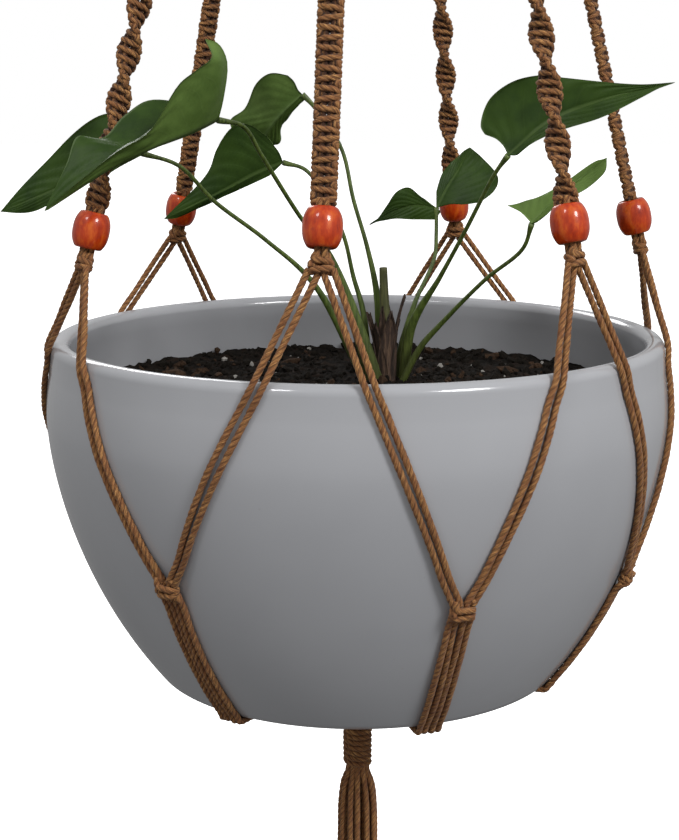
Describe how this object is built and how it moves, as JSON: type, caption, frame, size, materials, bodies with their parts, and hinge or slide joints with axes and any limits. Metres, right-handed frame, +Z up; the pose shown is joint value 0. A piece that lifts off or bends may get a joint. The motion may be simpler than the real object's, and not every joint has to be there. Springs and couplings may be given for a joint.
{
  "type": "hanging planter",
  "caption": "Hanging planter: a glazed round bowl with a leafy potted plant, carried by knotted cord arms with wooden beads, a top ring and a tassel.",
  "frame": {"origin": "hook seat: the inside top of the hanging ring", "axes": "+Z up along the hanger, -Y towards the front arm, +X to the right seen from the front"},
  "size_m": [0.314, 0.3083, 1.071],
  "materials": {
    "ring_metal": "brushed steel ring",
    "cord": "tan three-ply twisted cord, matt and slightly hairy",
    "bead_lacquer": "orange-red lacquered wood with faint grain",
    "glaze": "glossy white glaze",
    "soil": "moist peat potting mix with bark and perlite",
    "sheath": "dry papery leaf sheath",
    "leaf": "waxy green leaf with paler veins"
  },
  "bodies": {
    "ring": {"hanging_ring": "ring_metal"},
    "head": {"ring_loops": "cord", "top_wrap": "cord"},
    "cradle": {"arm_front_left": "cord", "bead_knot_front_left": "cord", "sling_front_left_left": "cord", "sling_front_left_right": "cord", "arm_front": "cord", "bead_knot_front": "cord", "sling_front_left": "cord", "sling_front_right": "cord", "arm_front_right": "cord", "bead_knot_front_right": "cord", "sling_front_right_left": "cord", "sling_front_right_right": "cord", "arm_back_right": "cord", "bead_knot_back_right": "cord", "sling_back_right_left": "cord", "sling_back_right_right": "cord", "arm_back": "cord", "bead_knot_back": "cord", "sling_back_left": "cord", "sling_back_right": "cord", "arm_back_left": "cord", "bead_knot_back_left": "cord", "sling_back_left_left": "cord", "sling_back_left_right": "cord", "diamond_back_left_front_left": "cord", "base_strands_back_left_front_left": "cord", "diamond_front_left_front": "cord", "base_strands_front_left_front": "cord", "diamond_front_front_right": "cord", "base_strands_front_front_right": "cord", "diamond_front_right_back_right": "cord", "base_strands_front_right_back_right": "cord", "diamond_back_right_back": "cord", "base_strands_back_right_back": "cord", "diamond_back_back_left": "cord", "base_strands_back_back_left": "cord"},
    "pot": {"bowl": "glaze", "soil": "soil", "plant_crown": "sheath", "leaf_far_left": "leaf", "leaf_near_left": "leaf", "leaf_upper_centre": "leaf", "leaf_lower_centre": "leaf", "leaf_right": "leaf", "leaf_centre": "leaf", "leaf_small_right": "leaf"},
    "bead_front_left": {"bead_front_left": "bead_lacquer"},
    "bead_front": {"bead_front": "bead_lacquer"},
    "bead_front_right": {"bead_front_right": "bead_lacquer"},
    "bead_back_right": {"bead_back_right": "bead_lacquer"},
    "bead_back": {"bead_back": "bead_lacquer"},
    "bead_back_left": {"bead_back_left": "bead_lacquer"},
    "base_wrap": {"base_wrap": "cord"},
    "tassel": {"tassel": "cord"}
  },
  "joints": [
    {"name": "ring_swing", "type": "hinge", "parent": "ring", "child": "head", "pos_m": [0, 0, -0.0535], "axis": [1, 0, 0], "range_deg": [-25, 25]},
    {"name": "hanger_sway", "type": "hinge", "parent": "head", "child": "cradle", "pos_m": [0, 0, -0.0985], "axis": [0, 1, 0], "range_deg": [-18, 18]},
    {"name": "pot_turn", "type": "hinge", "parent": "cradle", "child": "pot", "pos_m": [0, 0, -0.655], "axis": [0, 0, 1], "range_deg": [-5, 5]},
    {"name": "bead_slide_front_left", "type": "slide", "parent": "cradle", "child": "bead_front_left", "axis": [-0.2281, -0.1106, -0.9673], "range_m": [0, 0.0022]},
    {"name": "bead_slide_front", "type": "slide", "parent": "cradle", "child": "bead_front", "axis": [-0.037, -0.2459, -0.9686], "range_m": [0, 0.0022]},
    {"name": "bead_slide_front_right", "type": "slide", "parent": "cradle", "child": "bead_front_right", "axis": [0.1543, -0.1838, -0.9708], "range_m": [0, 0.0022]},
    {"name": "bead_slide_back_right", "type": "slide", "parent": "cradle", "child": "bead_back_right", "axis": [0.2346, -0.0064, -0.9721], "range_m": [0, 0.0022]},
    {"name": "bead_slide_back", "type": "slide", "parent": "cradle", "child": "bead_back", "axis": [0.0882, 0.223, -0.9708], "range_m": [0, 0.0022]},
    {"name": "bead_slide_back_left", "type": "slide", "parent": "cradle", "child": "bead_back_left", "axis": [-0.1861, 0.169, -0.9679], "range_m": [0, 0.0022]},
    {"name": "base_wrap_sway", "type": "hinge", "parent": "cradle", "child": "base_wrap", "pos_m": [0, 0, -0.8373], "axis": [1, 0, 0], "range_deg": [-12, 12]},
    {"name": "tassel_sway", "type": "hinge", "parent": "base_wrap", "child": "tassel", "pos_m": [0, 0, -0.8854], "axis": [0, 1, 0], "range_deg": [-35, 35]}
  ]
}
